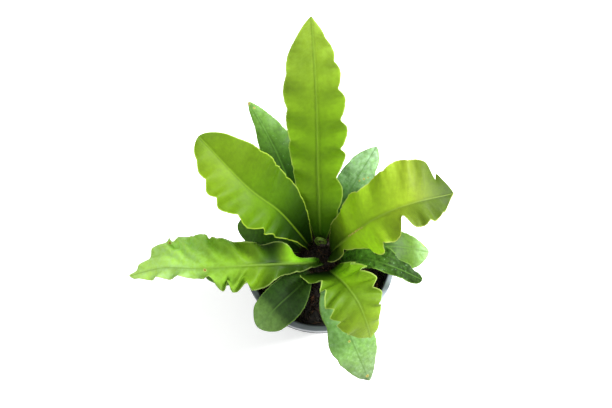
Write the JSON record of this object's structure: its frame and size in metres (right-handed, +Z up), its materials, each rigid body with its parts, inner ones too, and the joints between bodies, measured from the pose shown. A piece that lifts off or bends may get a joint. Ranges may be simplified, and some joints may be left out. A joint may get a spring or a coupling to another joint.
{
  "type": "potted birds nest fern",
  "caption": "Young bird's nest fern with wavy-edged arching fronds around a dark crown, growing in a round tapered black nursery pot.",
  "frame": {"origin": "centre of the pot's flat underside, on the surface that it rests on", "axes": "+Z up out of the pot, -Y towards the viewer of the picture, +X to that viewer's right; the tall upright frond leans towards +Y"},
  "size_m": [0.2798, 0.2507, 0.3005],
  "materials": {
    "frond_light": "smooth, softly glossy yellow-green leaf",
    "frond_dark": "smooth, leathery dark green leaf",
    "frond_young": "young leaf with fine brown scales",
    "crown_scales": "dry dark brown scales",
    "potting_soil": "crumbly, near-black, with reddish-brown fibres",
    "pot_plastic": "satin black moulded plastic"
  },
  "bodies": {
    "root": {"pot": "pot_plastic", "soil": "potting_soil", "crown": "crown_scales", "crozier": "frond_young", "light_frond_1": "frond_light", "light_frond_2": "frond_light", "light_frond_3": "frond_light", "light_frond_4": "frond_light", "light_frond_5": "frond_light", "dark_frond_1": "frond_dark", "dark_frond_2": "frond_dark", "dark_frond_3": "frond_dark", "dark_frond_4": "frond_dark", "dark_frond_5": "frond_dark", "dark_frond_6": "frond_dark", "dark_frond_7": "frond_dark", "dark_frond_8": "frond_dark"}
  },
  "joints": []
}
